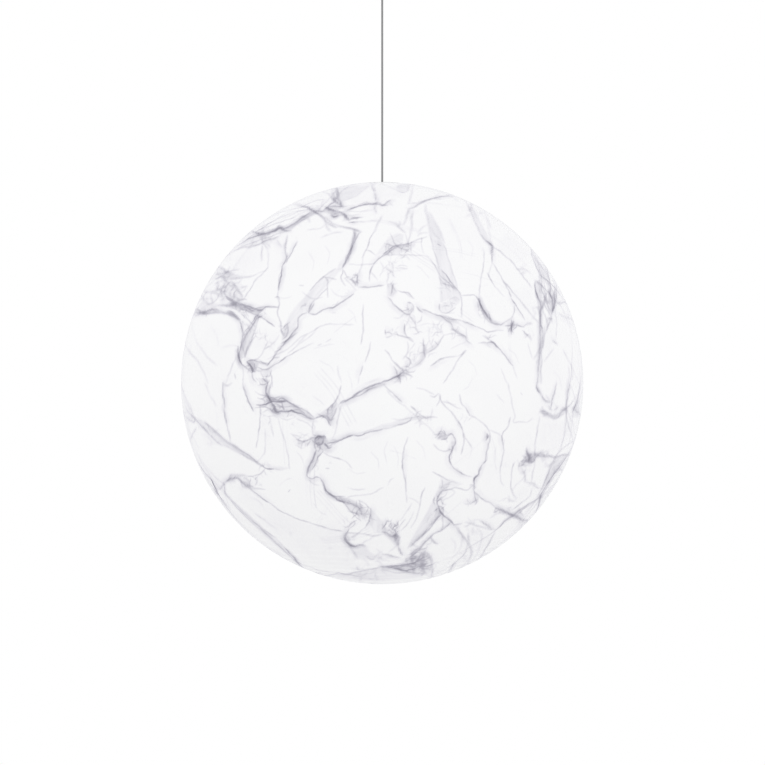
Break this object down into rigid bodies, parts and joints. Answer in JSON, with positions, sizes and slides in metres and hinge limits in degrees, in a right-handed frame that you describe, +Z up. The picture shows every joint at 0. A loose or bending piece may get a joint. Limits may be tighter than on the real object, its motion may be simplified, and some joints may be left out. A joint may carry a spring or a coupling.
{
  "type": "globe pendant lamp",
  "caption": "Veined translucent globe lamp that hangs from a shallow ceiling canopy on one thin cord, with a lampholder and bulb at its middle.",
  "frame": {"origin": "centre of the ceiling plate's upper face, where the lamp meets the ceiling", "axes": "+Z up, along the cord; +X along the ceiling plate's two slots; the picture looks along +Y"},
  "size_m": [0.6998, 0.7, 1.0769],
  "materials": {
    "globe": "satin translucent resin over a crumpled fibre veil, lit from inside",
    "clear_ring": "clear acrylic, glued",
    "white_metal": "satin white powder coat",
    "zinc_steel": "bright zinc plate",
    "nickel": "satin nickel",
    "cord_grey": "grey jacket over a steel-braided core",
    "white_rubber": "soft white silicone",
    "white_plastic": "moulded, slightly grained",
    "brown_core": "brown core insulation",
    "blue_core": "blue core insulation",
    "brass": "bright turned brass",
    "ceramic": "unglazed steatite",
    "bulb_white": "smooth white housing",
    "black_glass": "black insulating glass",
    "frosted": "frosted opal diffuser, lit",
    "aluminium": "bare aluminium board"
  },
  "bodies": {
    "ceiling_plate": {"ceiling_plate": "zinc_steel"},
    "canopy": {"canopy_cup": "white_metal", "thumb_screws": "nickel", "cord_gland": "nickel", "gland_washer": "zinc_steel", "gland_nut": "zinc_steel", "terminal_block": "white_plastic", "terminal_inserts": "brass", "terminal_screws": "zinc_steel", "live_lead": "brown_core", "neutral_lead": "blue_core"},
    "ball": {"cord_ball": "nickel"},
    "pendant": {"suspension_cord": "cord_grey", "bridge_bar": "zinc_steel", "bar_pads": "white_rubber", "hub_nipple": "nickel", "hub_washer": "zinc_steel", "hub_nut": "zinc_steel", "cord_grip": "nickel", "grip_screw": "zinc_steel", "holder_cap": "white_plastic", "cord_clamp": "white_plastic", "clamp_screw": "zinc_steel", "holder_body": "white_plastic", "ceramic_insert": "ceramic", "threaded_shell": "brass", "centre_contact": "brass", "side_contact": "brass", "holder_live_lead": "brown_core", "holder_neutral_lead": "blue_core"},
    "cap": {"top_cap": "white_metal", "cap_grommet": "white_rubber"},
    "globe": {"globe_shell": "globe", "rim_ring": "clear_ring"},
    "bulb": {"bulb_base": "nickel", "bulb_insulator": "black_glass", "bulb_tip_contact": "brass", "bulb_housing": "bulb_white", "light_board": "aluminium", "bulb_diffuser": "frosted"}
  },
  "joints": [
    {"name": "canopy_lower", "type": "slide", "parent": "ceiling_plate", "child": "canopy", "axis": [0, 0, -1], "range_m": [0, 0.06]},
    {"name": "swing_sideways", "type": "hinge", "parent": "canopy", "child": "ball", "pos_m": [0, 0, -0.024], "axis": [0, 1, 0], "range_deg": [-12, 12]},
    {"name": "swing_front_back", "type": "hinge", "parent": "ball", "child": "pendant", "pos_m": [0, 0, -0.024], "axis": [1, 0, 0], "range_deg": [-12, 12]},
    {"name": "cap_lift", "type": "slide", "parent": "pendant", "child": "cap", "axis": [0, 0, 1], "range_m": [0, 0.12]},
    {"name": "globe_turn", "type": "hinge", "parent": "pendant", "child": "globe", "pos_m": [0, 0, -0.7281], "axis": [0, 0, 1], "continuous": true},
    {"name": "bulb_out", "type": "slide", "parent": "pendant", "child": "bulb", "axis": [0, 0, -1], "range_m": [0, 0.035]}
  ]
}
